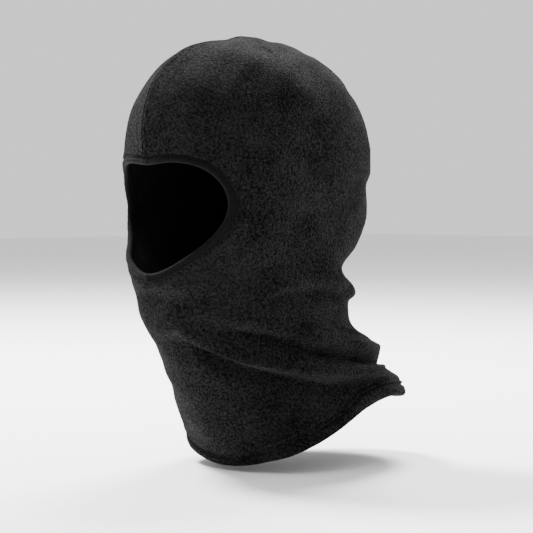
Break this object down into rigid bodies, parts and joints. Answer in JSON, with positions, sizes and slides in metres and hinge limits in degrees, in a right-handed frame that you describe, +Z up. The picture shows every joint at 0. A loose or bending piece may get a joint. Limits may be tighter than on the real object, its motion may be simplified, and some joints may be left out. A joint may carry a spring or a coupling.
{
  "type": "balaclava",
  "caption": "Pull-on fleece hood that covers head, face and neck, with one bound oval face opening and a turned hem around the neck.",
  "frame": {"origin": "underside of the crown, the point that rests on the top of the wearer's head", "axes": "+Z up, the face opening looks along -Y, +X towards the wearer's left"},
  "size_m": [0.1688, 0.2509, 0.3225],
  "materials": {
    "fleece": "matte napped polyester fleece, near black",
    "fleece_inside": "inner side of the same fleece, shorter nap",
    "knit_binding": "smooth stretch knit tape, faint rib",
    "overlock_thread": "textured polyester thread",
    "topstitch_thread": "spun polyester thread"
  },
  "bodies": {
    "root": {"left_panel": "fleece", "right_panel": "fleece", "front_seam_allowance": "fleece_inside", "back_seam_allowance": "fleece_inside", "chin_seam_allowance": "fleece_inside", "left_dart_allowance": "fleece_inside", "right_dart_allowance": "fleece_inside", "front_overlock": "overlock_thread", "back_overlock": "overlock_thread", "chin_overlock": "overlock_thread", "left_dart_overlock": "overlock_thread", "right_dart_overlock": "overlock_thread", "face_binding": "knit_binding", "binding_stitching": "topstitch_thread", "binding_join": "topstitch_thread", "neck_hem": "fleece", "hem_stitching": "topstitch_thread"}
  },
  "joints": []
}
